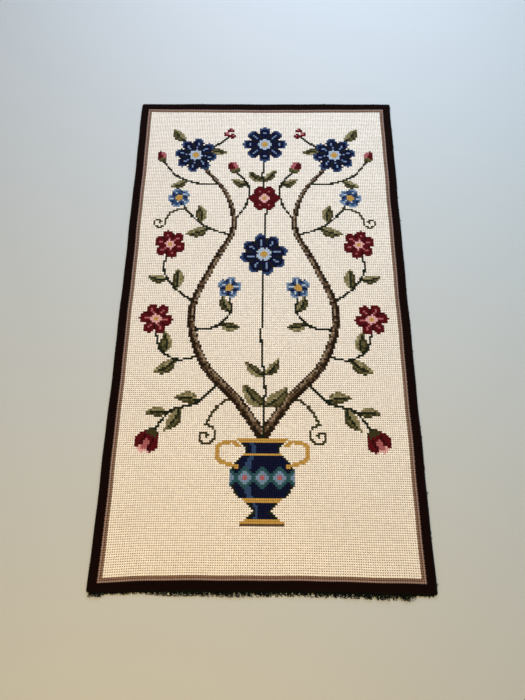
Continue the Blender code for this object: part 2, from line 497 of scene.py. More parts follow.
# The two stems up the middle, with their leaves in pairs
MIDDLE_STEMS = (
    (
        ((0, -68), (1, -44), (-1, -20), (0, 24)),
        (Leaf(0.2, 1, 15, 7), Leaf(0.2, -1, 15, 7), Leaf(0.42, 1, 12, 5), Leaf(0.42, -1, 12, 5)),
    ),
    (((0, 36), (1, 60), (-1, 80), (0, 96)), (Leaf(0.62, 1, 11, 5), Leaf(0.62, -1, 11, 5))),
)


def draw_spray(chart):
    """The right half of the spray: one bough with its flowering side stems."""
    for stem in STEMS_UNDER:
        grow(chart, *stem)
    for tendril in TENDRILS:
        draw_stem(chart, tendril, "moss")
    draw_bough(chart, smooth_curve(BOUGH), BOUGH_ROOT, BOUGH_TIP)
    for stem in STEMS_OVER:
        grow(chart, *stem)
    draw_leaf(chart, 46, 106, 12, 6, 0.9, -0.1)
    draw_flower(chart, 40, 96, 12.0, 8, 0.15, BLUE_FLOWER)
    draw_flower(chart, 51, 36, 8.5, 6, 0.3, RED_FLOWER)
    draw_flower(chart, 55, -8, 8.5, 6, 0.1, RED_FLOWER)
    draw_flower(chart, 48, 66, 6.3, 5, 1.2, SMALL_FLOWER)
    draw_flower(chart, 18, 10, 6.3, 5, 0.5, SMALL_FLOWER)
    draw_tulip(chart, 52, -66, 11, -1.1)
    draw_bud(chart, 16, 83, 9, 1.2)
    draw_bud(chart, 58.5, 91, 8, 1.3)
    draw_berries(chart, 19, 110)


def worked_chart():
    chart = Chart()
    draw_spray(chart)
    chart.mirror()
    for stem in MIDDLE_STEMS:
        grow(chart, *stem)
    draw_flower(chart, 0, 30, 12.5, 8, 0.2, BLUE_FLOWER)
    draw_flower(chart, 0, 104, 12.5, 8, 0.0, BLUE_FLOWER)
    draw_flower(chart, 0, 66, 8.5, 6, 0.0, RED_FLOWER)
    draw_vase(chart)
    chart.frame_lines()
    return chart.wool


# One stitch: a short steep arm from the near side and a long flat arm from the far side. The nine
# corners of an arm are the left, ridge and right of its foot, its middle and its other end. Each
# has its place in stitches, its rise as a share of the yarn's, and how much wool is lit; the rest
# is canvas showing through and painted shade, the wool darkened by the canvas's colour
SHORT_ALONG = (0.27, 0.50, 0.73, -0.08, 0.42, 0.92, -0.25, 0.25, 0.75)
SHORT_ACROSS = (0.00, 0.00, 0.00, 0.25, 0.28, 0.25, 0.39, 0.60, 0.39)
LONG_ALONG = (0.27, 0.50, 0.73, 0.08, 0.58, 1.08, 0.25, 0.75, 1.25)
LONG_ACROSS = (1.00, 1.00, 1.00, 0.76, 0.73, 0.76, 0.61, 0.40, 0.61)
ARM_ALONG = np.array([SHORT_ALONG, LONG_ALONG])
ARM_ACROSS = np.array([SHORT_ACROSS, LONG_ACROSS])
ARM_RISE = np.array([0.42, 0.74, 0.42, 0.48, 1.00, 0.48, 0.42, 0.74, 0.42])
ARM_COVER_AND_LIGHT = np.array([0.5, 1.0, 0.5, 0.8, 1.0, 0.8, 0.9, 1.0, 0.9])
AT_HOLES = (ARM_ACROSS == 0) | (ARM_ACROSS == 1)
RIDGE = 4
ARM_QUADS = ((0, 1, 4, 3), (1, 2, 5, 4), (3, 4, 7, 6), (4, 5, 8, 7))
ARM_CORNERS = 9

# How far the painted shade of a hole spreads over its stitches, farther on the two-tone line. The
# line's stitches are pinched at their ends, which opens its holes wider, and the fuller wools
# close theirs. As the rows are worked back and forth, the holes lie a little left and right of
# their line in turn
HOLE_SPREAD = 2.1
LINE_HOLE_SPREAD = 7.0
LINE_PINCH = 0.64
MOTIF_FULLNESS = 1.5
HOLE_STAGGER = 0.14

# The last stitch of a row is drawn in, so that its long arm ends at the rug's edge
SQUEEZE_FROM = COLUMNS / 2 - 1
SQUEEZE_REACH = 1.25
SQUEEZE_TO = 1.08

# How far an arm's foot sinks into the canvas, and how the stitches differ: their ridge's place,
# the least and most of their rise, and the shade of their two arms
ARM_SINK = 0.0001
RIDGE_WANDER = 0.05
LEAST_RISE = 0.6
MOST_RISE = 1.25
ARM_SHADE_SPREAD = 0.02
STITCH_SEED = 23

# The yarn's own map: its corners along and across the yarn, and how far its start is moved
STRAND_MAP = np.array([(x, y) for y in (0.0, 0.6, 1.2) for x in (0.0, 0.4, 0.8)])
STRAND_SHIFT = 9
MAP_MARGIN = 0.001


def mesh_object(name, points, quads):
    mesh = bpy.data.meshes.new(name)
    mesh.vertices.add(len(points))
    mesh.vertices.foreach_set("co", points.astype(np.float32).ravel())
    mesh.loops.add(quads.size)
    mesh.loops.foreach_set("vertex_index", quads.astype(np.int32).ravel())
    mesh.polygons.add(len(quads))
    starts = np.arange(len(quads), dtype=np.int32) * quads.shape[1]
    mesh.polygons.foreach_set("loop_start", starts)
    mesh.polygons.foreach_set("use_smooth", np.ones(len(quads), bool))
    mesh.update(calc_edges=True)
    made = bpy.data.objects.new(name, mesh)
    bpy.context.scene.collection.objects.link(made)
    return made


def add_map(made, name, corners):
    layer = made.data.uv_layers.new(name=name)
    layer.uv.foreach_set("vector", corners.astype(np.float32).ravel())


def add_colours(made, colours):
    layer = made.data.attributes.new("wool_colour", "FLOAT_COLOR", "POINT")
    layer.data.foreach_set("color", colours.astype(np.float32).ravel())


def plan_map(points, quads):
    """The piece seen from above, fitted to its map."""
    low = points[:, :2].min(axis=0) - MAP_MARGIN
    high = points[:, :2].max(axis=0) + MAP_MARGIN
    return ((points[:, :2] - low) / (high - low))[quads.ravel()]


def wool_table():
    colours = bpy.context.scene.rug_colours
    return np.array([tuple(getattr(colours, name)) for name in WOOLS])


def stitch_corners(chance, rows, worked):
    """How far along and across its cell each corner of each stitch's two arms lies."""
    count = len(rows)
    row = rows[:, None, None]
    along = np.broadcast_to(ARM_ALONG, (count, 2, ARM_CORNERS)).copy()
    across = np.broadcast_to(ARM_ACROSS, (count, 2, ARM_CORNERS)).copy()
    along[:, :, RIDGE] += RIDGE_WANDER * chance.uniform(-1, 1, (count, 2))
    across[:, :, RIDGE] += RIDGE_WANDER / 2 * chance.uniform(-1, 1, (count, 2))
    fullness = np.where(worked == NUMBER["cream"], 1.0, MOTIF_FULLNESS)
    fullness = np.where(in_line(worked), LINE_PINCH, fullness)[:, None, None]
    along = np.where(AT_HOLES, 0.5 + (along - 0.5) * fullness, along)
    along = np.where(row % 2 == 1, 1 - along, along)
    swing = 1 - 2 * ((row + ARM_ACROSS.round()) % 2)
    return np.where(AT_HOLES, along + HOLE_STAGGER * swing, along), across


def in_line(worked):
    return np.isin(worked, (NUMBER["gold_tan"], NUMBER["rose_tan"]))


def drawn_in(grid_x):
    over = np.maximum(np.abs(grid_x) - SQUEEZE_FROM, 0.0)
    squeezed = SQUEEZE_FROM + over * SQUEEZE_TO / SQUEEZE_REACH
    return np.where(over > 0, np.sign(grid_x) * squeezed, grid_x)


def stitch_colours(chance, worked):
    """Each stitch's own shade of its wool, with how much of it is lit, not in painted hole shade,
    as the fourth value.
    """
    count = len(worked)
    spread = bpy.context.scene.rug_sizes.shade_spread
    shade = 1 + spread * chance.normal(0, 1, (count, 1, 1))
    shade = shade * (1 + ARM_SHADE_SPREAD * chance.normal(0, 1, (count, 2, 1)))
    body = wool_table()[worked][:, None, :] * shade
    hole_spread = np.where(in_line(worked), LINE_HOLE_SPREAD, HOLE_SPREAD)
    rgba = np.empty((count, 2, ARM_CORNERS, 4))
    rgba[..., :3] = np.clip(body, 0, 1)[:, :, None, :]
    rgba[..., 3] = ARM_COVER_AND_LIGHT ** hole_spread[:, None, None]
    return rgba.reshape(-1, 4)


def work_stitches(name, chosen, wools):
    """One joined mesh of all the stitches in the chosen cells of the grid."""
    sizes = bpy.context.scene.rug_sizes
    rows, columns = np.nonzero(chosen)
    worked = wools[rows, columns]
    count = len(rows)
    chance = np.random.default_rng(STITCH_SEED + int(rows.sum()) % 1000)
    along, across = stitch_corners(chance, rows, worked)
    x = drawn_in(columns[:, None, None] + along - COLUMNS / 2) * STITCH
    y = (rows[:, None, None] + across - ROWS / 2) * STITCH
    height = 1 + sizes.unevenness * chance.normal(0, 0.5, (count, 2, 1))
    rise = ARM_RISE * np.clip(height, LEAST_RISE, MOST_RISE) * sizes.stitch_rise
    z = canvas_height(x, y) - ARM_SINK + rise
    points = np.stack([*place(x, y), z], axis=-1).reshape(-1, 3)

    first = (np.arange(count * 2) * ARM_CORNERS).reshape(count, 2, 1, 1)
    quads = np.broadcast_to(np.array(ARM_QUADS), (count, 2, 4, 4)) + first
    flipped = np.array([False, True]) ^ (rows[:, None] % 2 == 1)
    quads = np.where(flipped[:, :, None, None], quads[..., ::-1], quads).reshape(-1, 4)
    made = mesh_object(name, points, quads)
    add_colours(made, stitch_colours(chance, worked))
    add_map(made, "OFBake", plan_map(points, quads))
    strand = STRAND_MAP + chance.uniform(0, STRAND_SHIFT, (count, 2, 1, 2))
    add_map(made, "Strand", strand.reshape(-1, 2)[quads.ravel()])
    return made


NODE_GAP = 220


def socket(sockets, identifier):
    """A socket by its identifier, as the names of some repeat, with underscores for spaces."""
    return next(each for each in sockets if each.identifier.replace(" ", "_") == identifier)


def node(tree, kind, **settings):
    """A node with its settings: a lower-case name is its own, any other is that of an input."""
    made = tree.nodes.new(kind)
    made.location = (NODE_GAP * len(tree.nodes), 0)
    for name, value in settings.items():
        if name.islower():
            setattr(made, name, value)
        else:
            socket(made.inputs, name).default_value = value
    return made


def wire(tree, *joints):
    for source, output, target, entry in joints:
        tree.links.new(socket(source.outputs, output), socket(target.inputs, entry))


def new_material(name, roughness, specular, sheen=0.0):
    """A new material, its node tree and its shader."""
    material = bpy.data.materials.new(name)
    material.use_nodes = True
    shader = material.node_tree.nodes["Principled BSDF"]
    shader.inputs["Roughness"].default_value = roughness
    shader.inputs["Specular IOR Level"].default_value = specular
    shader.inputs["Sheen Weight"].default_value = sheen
    return material, material.node_tree, shader


def stitch_material():
    """Matt wool: each stitch's own shade, painted shade and canvas colour in its holes, fibres and
    a twisted ply.
    """
    material, tree, shader = new_material("stitch_wool", 0.88, 0.03, 0.01)
    canvas = (*bpy.context.scene.rug_colours.canvas, 1.0)
    shade = node(tree, "ShaderNodeAttribute", attribute_name="wool_colour")
    where = node(tree, "ShaderNodeTexCoord")
    fibres = node(tree, "ShaderNodeTexNoise", Scale=700.0, Detail=3.0, Roughness=0.6)
    fading = node(tree, "ShaderNodeTexNoise", Scale=7.0, Detail=2.0, Roughness=0.5)
    fibre_range = node(tree, "ShaderNodeMapRange", To_Min=0.86, To_Max=1.12)
    fading_range = node(tree, "ShaderNodeMapRange", To_Min=0.95, To_Max=1.05)
    value = node(tree, "ShaderNodeMath", operation="MULTIPLY")
    # Painted shade: the wool darkened by the canvas's colour where the holes are
    hole_shade = node(tree, "ShaderNodeMix", data_type="RGBA", Factor_Float=1.0, B_Color=canvas)
    hole_shade.blend_type = "MULTIPLY"
    rim = node(tree, "ShaderNodeMapRange", From_Min=0.1, From_Max=0.9)
    rim.interpolation_type = "SMOOTHSTEP"
    covered = node(tree, "ShaderNodeMix", data_type="RGBA")
    shaded = node(tree, "ShaderNodeHueSaturation")
    strand = node(tree, "ShaderNodeUVMap", uv_map="Strand")
    ply = node(tree, "ShaderNodeTexWave", Scale=0.9, Distortion=1.5, Detail=1.0)
    ply.bands_direction = "DIAGONAL"
    relief = node(tree, "ShaderNodeMath", operation="MULTIPLY_ADD", Value_001=0.5)
    bump = node(tree, "ShaderNodeBump", Strength=0.5, Distance=0.0003)
    wire(
        tree,
        (where, "Object", fibres, "Vector"),
        (where, "Object", fading, "Vector"),
        (fibres, "Fac", fibre_range, "Value"),
        (fading, "Fac", fading_range, "Value"),
        (fibre_range, "Result", value, "Value"),
        (fading_range, "Result", value, "Value_001"),
        (shade, "Alpha", rim, "Value"),
        (shade, "Color", hole_shade, "A_Color"),
        (rim, "Result", covered, "Factor_Float"),
        (hole_shade, "Result_Color", covered, "A_Color"),
        (shade, "Color", covered, "B_Color"),
        (covered, "Result_Color", shaded, "Color"),
        (value, "Value", shaded, "Value"),
        (shaded, "Color", shader, "Base_Color"),
        (strand, "UV", ply, "Vector"),
        (fibres, "Fac", relief, "Value"),
        (ply, "Fac", relief, "Value_002"),
        (relief, "Value", bump, "Height"),
        (bump, "Normal", shader, "Normal"),
    )
    return material


def canvas_material():
    """Bare canvas: a square weave of thick threads, painted shade between them, and the border
    wool's colour under the border.
    """
    material, tree, shader = new_material("bare_canvas", 0.92, 0.2)
    colours = bpy.context.scene.rug_colours
    red, green, blue = colours.canvas
    where = node(tree, "ShaderNodeTexCoord")
    both = node(tree, "ShaderNodeMath", operation="MULTIPLY")
    for direction, entry in (("X", "Value"), ("Y", "Value_001")):
        threads = node(tree, "ShaderNodeTexWave", Scale=200.0, Distortion=0.6)
        threads.bands_direction = direction
        wire(tree, (where, "Object", threads, "Vector"), (threads, "Fac", both, entry))
    # The ramp's dark end is painted shade in the gaps between the threads
    ramp = node(tree, "ShaderNodeValToRGB")
    ramp.color_ramp.elements[0].color = (red * 0.45, green * 0.42, blue * 0.38, 1.0)
    ramp.color_ramp.elements[1].color = (red, green, blue, 1.0)
    bump = node(tree, "ShaderNodeBump", Strength=0.7, Distance=0.0004)
    border = node(tree, "ShaderNodeAttribute", attribute_name="border_cover")
    # Under the border the canvas has the border wool's colour
    border_coloured = node(tree, "ShaderNodeMix", data_type="RGBA", B_Color=(*colours.border, 1.0))
    wire(
        tree,
        (both, "Value", ramp, "Fac"),
        (both, "Value", bump, "Height"),
        (border, "Fac", border_coloured, "Factor_Float"),
        (ramp, "Color", border_coloured, "A_Color"),
        (border_coloured, "Result_Color", shader, "Base_Color"),
        (bump, "Normal", shader, "Normal"),
    )
    return material


def dark_yarn_material(name, colour, tint):
    """Dark wool seen close: two shades of it along the fibres."""
    material, tree, shader = new_material(name, 0.85, 0.03, 0.01)
    red, green, blue = colour
    where = node(tree, "ShaderNodeTexCoord")
    fibres = node(tree, "ShaderNodeTexNoise", Scale=650.0, Detail=3.0, Roughness=0.65)
    patches = node(tree, "ShaderNodeTexNoise", Scale=40.0, Detail=2.0)
    mixed = node(tree, "ShaderNodeMath", operation="MULTIPLY")
    ramp = node(tree, "ShaderNodeValToRGB")
    ramp.color_ramp.elements[0].position = 0.12
    ramp.color_ramp.elements[0].color = (red * 0.55, green * 0.55, blue * 0.55, 1.0)
    ramp.color_ramp.elements[1].position = 0.45
    ramp.color_ramp.elements[1].color = (red * tint[0], green * tint[1], blue * tint[2], 1.0)
    bump = node(tree, "ShaderNodeBump", Strength=0.6, Distance=0.0003)
    wire(
        tree,
        (where, "Object", fibres, "Vector"),
        (where, "Object", patches, "Vector"),
        (fibres, "Fac", mixed, "Value"),
        (patches, "Fac", mixed, "Value_001"),
        (mixed, "Value", ramp, "Fac"),
        (ramp, "Color", shader, "Base_Color"),
        (fibres, "Fac", bump, "Height"),
        (bump, "Normal", shader, "Normal"),
    )
    return material


def finish_piece(made, material):
    made.data.materials.append(material)
    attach(made, "root")
    return made


# The canvas's grid lines, as distances in from its edge, with even ones between
CANVAS_LINES = (0.0, 0.004, 0.012, 0.020, 0.024, 0.027, 0.0306, 0.0308)
DARK_CANVAS = 0.0317
CANVAS_FIELD_STEPS = 24


def canvas_lines(half):
    """Grid lines across the canvas: close together over the hem and its step."""
    near = -half + np.array(CANVAS_LINES)
    inner = np.linspace(near[-1], -near[-1], CANVAS_FIELD_STEPS + 1)[1:-1]
    return np.concatenate([near, inner, -near[::-1]])


def make_canvas():
    bpy.ops.object.select_all(action="DESELECT")
    across = canvas_lines(HALF_WIDTH - CANVAS_INSET)
    along = canvas_lines(HALF_LENGTH - CANVAS_INSET)
    columns, rows = len(across) - 1, len(along) - 1
    bpy.ops.mesh.primitive_grid_add(x_subdivisions=columns, y_subdivisions=rows, size=2)
    made = bpy.context.object
    made.name = made.data.name = "hemmed_canvas"
    mesh = made.data
    points = np.empty(len(mesh.vertices) * 3)
    mesh.vertices.foreach_get("co", points)
    points = points.reshape(-1, 3)
    flat_x = across[np.rint((points[:, 0] + 1) / 2 * columns).astype(int)]
    flat_y = along[np.rint((points[:, 1] + 1) / 2 * rows).astype(int)]
    points[:, 0], points[:, 1] = place(flat_x, flat_y)
    points[:, 2] = canvas_height(flat_x, flat_y)
    mesh.vertices.foreach_set("co", points.ravel())
    inset = np.minimum(HALF_WIDTH - np.abs(flat_x), HALF_LENGTH - np.abs(flat_y))
    covered = mesh.attributes.new("border_cover", "FLOAT", "POINT")
    covered.data.foreach_set("value", (inset < DARK_CANVAS).astype(np.float32))
    mesh.update()
    bpy.ops.object.mode_set(mode="EDIT")
    bpy.ops.mesh.select_all(action="SELECT")
    bpy.ops.mesh.extrude_region_move()
    bpy.ops.object.mode_set(mode="OBJECT")
    for vert in mesh.vertices:
        if vert.select:
            vert.co.z = CANVAS_UNDERSIDE
    bpy.ops.object.mode_set(mode="EDIT")
    bpy.ops.mesh.select_all(action="SELECT")
    bpy.ops.mesh.normals_make_consistent(inside=False)
    bpy.ops.object.mode_set(mode="OBJECT")
    bevel = made.modifiers.new("rounded_rim", "BEVEL")
    bevel.width = CANVAS_BEVEL
    bevel.segments = 3
    bevel.angle_limit = math.radians(50)
    bpy.ops.object.modifier_apply(modifier=bevel.name)
    bpy.ops.object.shade_smooth_by_angle(angle=math.radians(40))
    return made


# The wool wrapped over the edge: where each turn lies, in from the edge and above the floor
Turn = namedtuple("Turn", "inset height bulge")
WRAP_SECTION = (
    Turn(0.0040, 0.0046, 0.0003),
    Turn(0.0016, 0.0046, 0.0007),
    Turn(-0.0004, 0.0036, 0.0008),
    Turn(-0.0009, 0.0018, 0.0007),
    Turn(0.0004, 0.0004, 0.0003),
    Turn(0.0030, 0.0002, 0.0000),
)
WRAP_HALF = 0.46
WRAP_SLANT = 0.35
WRAP_GROOVE = 0.0003
WRAP_FATNESS = (0.75, 1.15)
WRAP_SEED = 5


def lattice_quads(count, rows, columns, corners):
    """Quads that join the rows of equal lattices, from the corners of those in one row."""
    first = np.arange(count)[:, None, None, None] * rows * columns
    row = np.arange(rows - 1)[None, :, None, None] * columns
    return (first + row + corners).reshape(-1, 4)[:, ::-1]


def rim_places():
    """Places one stitch apart all round the rug's edge, with the way out at each."""
    x = HALF_WIDTH - CORNER_RADIUS
    y = HALF_LENGTH - CORNER_RADIUS
    arc = CORNER_RADIUS * math.pi / 2
    ends = np.cumsum((0, 2 * y, arc, 2 * x, arc, 2 * y, arc, 2 * x, arc))
    count = round(ends[-1] / STITCH)
    walked = np.arange(count) * ends[-1] / count
    centre_x = np.interp(walked, ends, (x, x, x, -x, -x, -x, -x, x, x))
    centre_y = np.interp(walked, ends, (-y, y, y, y, y, -y, -y, -y, -y))
    angle = np.interp(walked, ends, (0, 0, 1, 1, 2, 2, 3, 3, 4)) * math.pi / 2
    outward = np.stack([np.cos(angle), np.sin(angle)], axis=1)
    return np.stack([centre_x, centre_y], axis=1) + CORNER_RADIUS * outward, outward


def make_edge_wraps():
    """Turns of dark wool over the edge, one for each stitch, domed and a little slanted."""
    rim, outward = rim_places()
    count, turns = len(rim), len(WRAP_SECTION)
    chance = np.random.default_rng(WRAP_SEED)
    ahead = np.stack([-outward[:, 1], outward[:, 0]], axis=1)
    points = np.empty((count, turns, 3, 3))
    fatness = chance.uniform(*WRAP_FATNESS, count)
    for row, turn in enumerate(WRAP_SECTION):
        lean = WRAP_SLANT * (row / (turns - 1) - 0.5)
        for line, side in enumerate((-1, 0, 1)):
            bulge = turn.bulge * fatness * (side == 0)
            inset = turn.inset - bulge * (row > 0) + WRAP_GROOVE * abs(side)
            shift = STITCH * (lean + side * WRAP_HALF)
            flat = rim - outward * inset[:, None] + ahead * shift
            points[:, row, line, 0], points[:, row, line, 1] = settle(flat[:, 0], flat[:, 1])
            points[:, row, line, 2] = turn.height + bulge * (row < 2)
    quads = lattice_quads(count, turns, 3, np.array([[0, 1, 4, 3], [1, 2, 5, 4]]))
    return mesh_object("edge_wraps", points.reshape(-1, 3), quads)


# Curly yarn and loose fibres: points along each and sides round it, its curl, the shares of the
# reach or the lengths that it is cut to, and how its thickness and its height vary
FRINGE_SEED = 31
FRINGE_POINTS = 15
PLY_SIDES = 4
PLY_TWIST = 0.62
YARN_CURL = 1.7
YARN_REACH = (0.9, 2.0)
YARN_FATNESS = (0.75, 1.15)
HAIR_POINTS = 6
HAIR_SIDES = 3
HAIR_CURL = 2.6
HAIR_LENGTH = (0.002, 0.006)
HAIR_FATNESS = (0.7, 1.2)
HAIR_HEIGHT = (0.0004, 0.0022)

# The heading: how far past the cloth's edge it lies, its radius and its points
HEADING_OUT = 0.0012
HEADING_RADIUS = 0.0010
HEADING_POINTS = 500
REACH_SAMPLES = 400
ROOT_WANDER = 0.0016
FLOOR_GAP = 0.0001

# How the fringe changes along the near edge: its reach, and how thickly the ends are set
REACH_X = (-0.364, -0.34, -0.328, -0.25, -0.2, -0.05, 0.05, 0.2, 0.27, 0.314, 0.323, 0.362)
REACH = (0.007, 0.0068, 0.0036, 0.0045, 0.008, 0.0092, 0.008, 0.009, 0.0098, 0.0108, 0.003, 0.0034)
THICKNESS = (1.2, 1.0, 0.6, 0.6, 1.1, 1.1, 1.0, 1.1, 1.1, 1.2, 0.6, 0.5)


def path_sides(paths):
    """Across and above each point of each path."""
    ahead = np.gradient(paths, axis=1)
    ahead /= np.maximum(np.linalg.norm(ahead, axis=2, keepdims=True), 1e-9)
    across = np.cross(ahead, np.array([0.0, 0.0, 1.0]))
    across /= np.maximum(np.linalg.norm(across, axis=2, keepdims=True), 1e-9)
    return across, np.cross(across, ahead)


def tubes(paths, radii, sides):
    """Tubes along paths of equally many points: one joined set of points and quads."""
    count, steps, _ = paths.shape
    across, above = path_sides(paths)
    angle = np.linspace(0, math.tau, sides, endpoint=False)[:, None]
    ring = across[:, :, None] * np.cos(angle) + above[:, :, None] * np.sin(angle)
    points = paths[:, :, None] + ring * radii[:, :, None, None]
    side = np.arange(sides)
    after = (side + 1) % sides
    corners = np.stack([side, after, after + sides, side + sides], axis=1)
    return points.reshape(-1, 3), lattice_quads(count, steps, sides, corners)


def plied(paths, radii, phase):
    """Two plies twisted round each path, a little open towards its end."""
    across, above = path_sides(paths)
    steps = paths.shape[1]
    open_end = 0.9 + 0.5 * np.linspace(0, 1, steps) ** 3
    both = []
    for half_turn in (0.0, math.pi):
        angle = phase + half_turn + PLY_TWIST * math.tau * np.arange(steps) / 3
        offset = across * np.cos(angle)[..., None] + above * np.sin(angle)[..., None]
        both.append(paths + offset * (radii * open_end)[..., None])
    return tubes(np.concatenate(both), np.concatenate([radii, radii]), PLY_SIDES)


def curled_paths(chance, roots, facing, lengths, steps, curl):
    """Paths that wander from each root down to the floor: facing is the way out at each one."""
    count = len(roots)
    t = np.linspace(0, 1, steps)[None, :]
    swing = curl * chance.uniform(0.3, 1.0, (count, 1))
    beats = chance.uniform(0.5, 1.4, (count, 1))
    start = chance.uniform(0, math.tau, (count, 1))
    lean = chance.normal(0.25, 0.5, (count, 1))
    angle = facing[:, None] + lean + swing * np.sin(math.tau * beats * t + start)
    step = lengths[:, None] / (steps - 1)
    x = roots[:, :1] + np.cumsum(np.cos(angle), axis=1) * step
    y = roots[:, 1:2] + np.cumsum(np.sin(angle), axis=1) * step
    hump = lengths[:, None] * chance.uniform(0.02, 0.22, (count, 1))
    z = roots[:, 2:] * (1 - t) ** 2 + hump * np.sin(np.pi * t) ** 2
    return np.stack([x, y, z], axis=2), t


def fringe_roots(chance, count):
    """Where each end leaves the heading, and how far the fringe reaches there."""
    x = np.linspace(REACH_X[0], REACH_X[-1], REACH_SAMPLES)
    thickness = np.interp(x, REACH_X, THICKNESS)
    root_x = np.interp((np.arange(count) + 0.5) / count, np.cumsum(thickness) / thickness.sum(), x)
    root_x = root_x + chance.normal(0, ROOT_WANDER, count)
    root_x = np.clip(root_x, REACH_X[0], REACH_X[-1])
    reach = np.interp(root_x, REACH_X, REACH)
    placed_x, edge_y = place(root_x, np.full(count, -HALF_LENGTH))
    return placed_x, edge_y - HEADING_OUT, reach


def floor_piece(name, points, quads):
    """A piece of yarn with nothing of it below the floor."""
    points[:, 2] = np.maximum(points[:, 2], FLOOR_GAP)
    return mesh_object(name, points, quads)


def make_fringe_yarn():
    """Short curly two-ply ends under the near edge, lying on the floor."""
    sizes = bpy.context.scene.rug_sizes
    chance = np.random.default_rng(FRINGE_SEED)
    count = sizes.fringe_strands
    x, y, reach = fringe_roots(chance, count)
    roots = np.stack([x, y, np.full(count, HEADING_RADIUS)], axis=1)
    lengths = reach * chance.uniform(*YARN_REACH, count)
    facing = np.full(count, -math.pi / 2)
    paths, t = curled_paths(chance, roots, facing, lengths, FRINGE_POINTS, YARN_CURL)
    limit = (y - reach - HEADING_OUT)[:, None]
    paths[..., 1] = np.maximum(paths[..., 1], limit)
    taper = 1.0 - 0.35 * t - 0.6 * t**12
    radii = sizes.yarn_radius * taper * chance.uniform(*YARN_FATNESS, (count, 1))
    paths[..., 2] += radii * 1.9
    phase = chance.uniform(0, math.tau, (count, 1))
    return floor_piece("fringe_yarn", *plied(paths, radii, phase))


def make_fringe_hairs():
    """Loose fibres that stand off the fringe and blur its outline."""
    sizes = bpy.context.scene.rug_sizes
    chance = np.random.default_rng(FRINGE_SEED + 1)
    count = sizes.fringe_hairs
    x, y, reach = fringe_roots(chance, count)
    y = y - reach * chance.uniform(0, 0.7, count)
    height = chance.uniform(*HAIR_HEIGHT, count)
    roots = np.stack([x, y, height], axis=1)
    lengths = chance.uniform(*HAIR_LENGTH, count)
    facing = chance.uniform(-math.pi, 0, count)
    paths, t = curled_paths(chance, roots, facing, lengths, HAIR_POINTS, HAIR_CURL)
    radii = sizes.hair_radius * (1 - 0.5 * t) * chance.uniform(*HAIR_FATNESS, (count, 1))
    paths[..., 2] += radii
    return floor_piece("fringe_hairs", *tubes(paths, radii, HAIR_SIDES))


def make_fringe_heading():
    """The twisted cord that carries the fringe, close under the near edge."""
    x = np.linspace(REACH_X[0], REACH_X[-1], HEADING_POINTS)
    placed_x, edge_y = place(x, np.full(HEADING_POINTS, -HALF_LENGTH))
    height = np.full(HEADING_POINTS, 2 * HEADING_RADIUS)
    path = np.stack([placed_x, edge_y - HEADING_OUT, height], axis=1)[None]
    radii = np.full((1, HEADING_POINTS), HEADING_RADIUS * 0.75)
    return floor_piece("fringe_heading", *plied(path, radii, 0.0))


# Ends of border yarn that stick out of the far edge and the right one, clear of the corners:
# where their roots lie, in from the edge and above the floor, their lengths and their curl
NUB_SEED = 12
FAR_NUBS = 90
SIDE_NUBS = 60
NUB_POINTS = 9
NUB_MARGIN = 0.007
NUB_INSET = 0.0012
NUB_HEIGHT = 0.0022
NUB_LENGTH = (0.0030, 0.0085)
NUB_FATNESS = (0.6, 1.0)
NUB_CURL = 2.2


def make_edge_nubs():
    """Cut ends of yarn that stand off the edge and curl down to the floor."""
    sizes = bpy.context.scene.rug_sizes
    chance = np.random.default_rng(NUB_SEED)
    count = FAR_NUBS + SIDE_NUBS
    far_x = chance.uniform(-1, 1, FAR_NUBS) * (HALF_WIDTH - NUB_MARGIN)
    side_y = chance.uniform(-1, 1, SIDE_NUBS) * (HALF_LENGTH - NUB_MARGIN)
    flat_x = np.append(far_x, [HALF_WIDTH] * SIDE_NUBS)
    flat_y = np.append([HALF_LENGTH] * FAR_NUBS, side_y)
    x, y = place(flat_x, flat_y)
    facing = np.repeat([math.pi / 2, 0.0], [FAR_NUBS, SIDE_NUBS])
    root_x = x - NUB_INSET * np.cos(facing)
    root_y = y - NUB_INSET * np.sin(facing)
    roots = np.stack([root_x, root_y, np.full(count, NUB_HEIGHT)], axis=1)
    lengths = chance.uniform(*NUB_LENGTH, count)
    paths, t = curled_paths(chance, roots, facing, lengths, NUB_POINTS, NUB_CURL)
    radii = sizes.yarn_radius * (0.85 - 0.5 * t**4) * chance.uniform(*NUB_FATNESS, (count, 1))
    paths[..., 2] += radii
    phase = chance.uniform(0, math.tau, (count, 1))
    return floor_piece("edge_nubs", *plied(paths, radii, phase))


WORKED_PIECES = (
    "field_stitches_near",
    "field_stitches_middle",
    "field_stitches_far",
    "border_stitches",
    "edge_wraps",
    "edge_nubs",
    "fringe_heading",
    "fringe_yarn",
    "fringe_hairs",
)


class RUG_OT_canvas(bpy.types.Operator):
    """Cut the canvas, turn its hem and round its rim"""

    bl_idname = "rug.canvas"
    bl_label = "Canvas"

    def execute(self, context):
        made = finish_piece(make_canvas(), canvas_material())
        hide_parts("stitched_cloth")
        return {"FINISHED"}


class RUG_OT_stitches(bpy.types.Operator):
    """Work the ground and its chart, then the border, in long-armed cross stitch"""

    bl_idname = "rug.stitches"
    bl_label = "Stitches"

    def execute(self, context):
        wools = worked_chart()
        rows, columns = np.indices(wools.shape)
        rim = np.minimum(
            np.minimum(columns, COLUMNS - 1 - columns), np.minimum(rows, ROWS - 1 - rows)
        )
        field = rim >= BORDER + LINE
        material = stitch_material()
        bands = np.linspace(BORDER + LINE, ROWS - BORDER - LINE, 4).round().astype(int)
        for name, low, high in zip(("near", "middle", "far"), bands, bands[1:]):
            chosen = field & (rows >= low) & (rows < high)
            made = work_stitches(f"field_stitches_{name}", chosen, wools)
            finish_piece(made, material)
        made = work_stitches("border_stitches", ~field, wools)
        finish_piece(made, material)
        return {"FINISHED"}


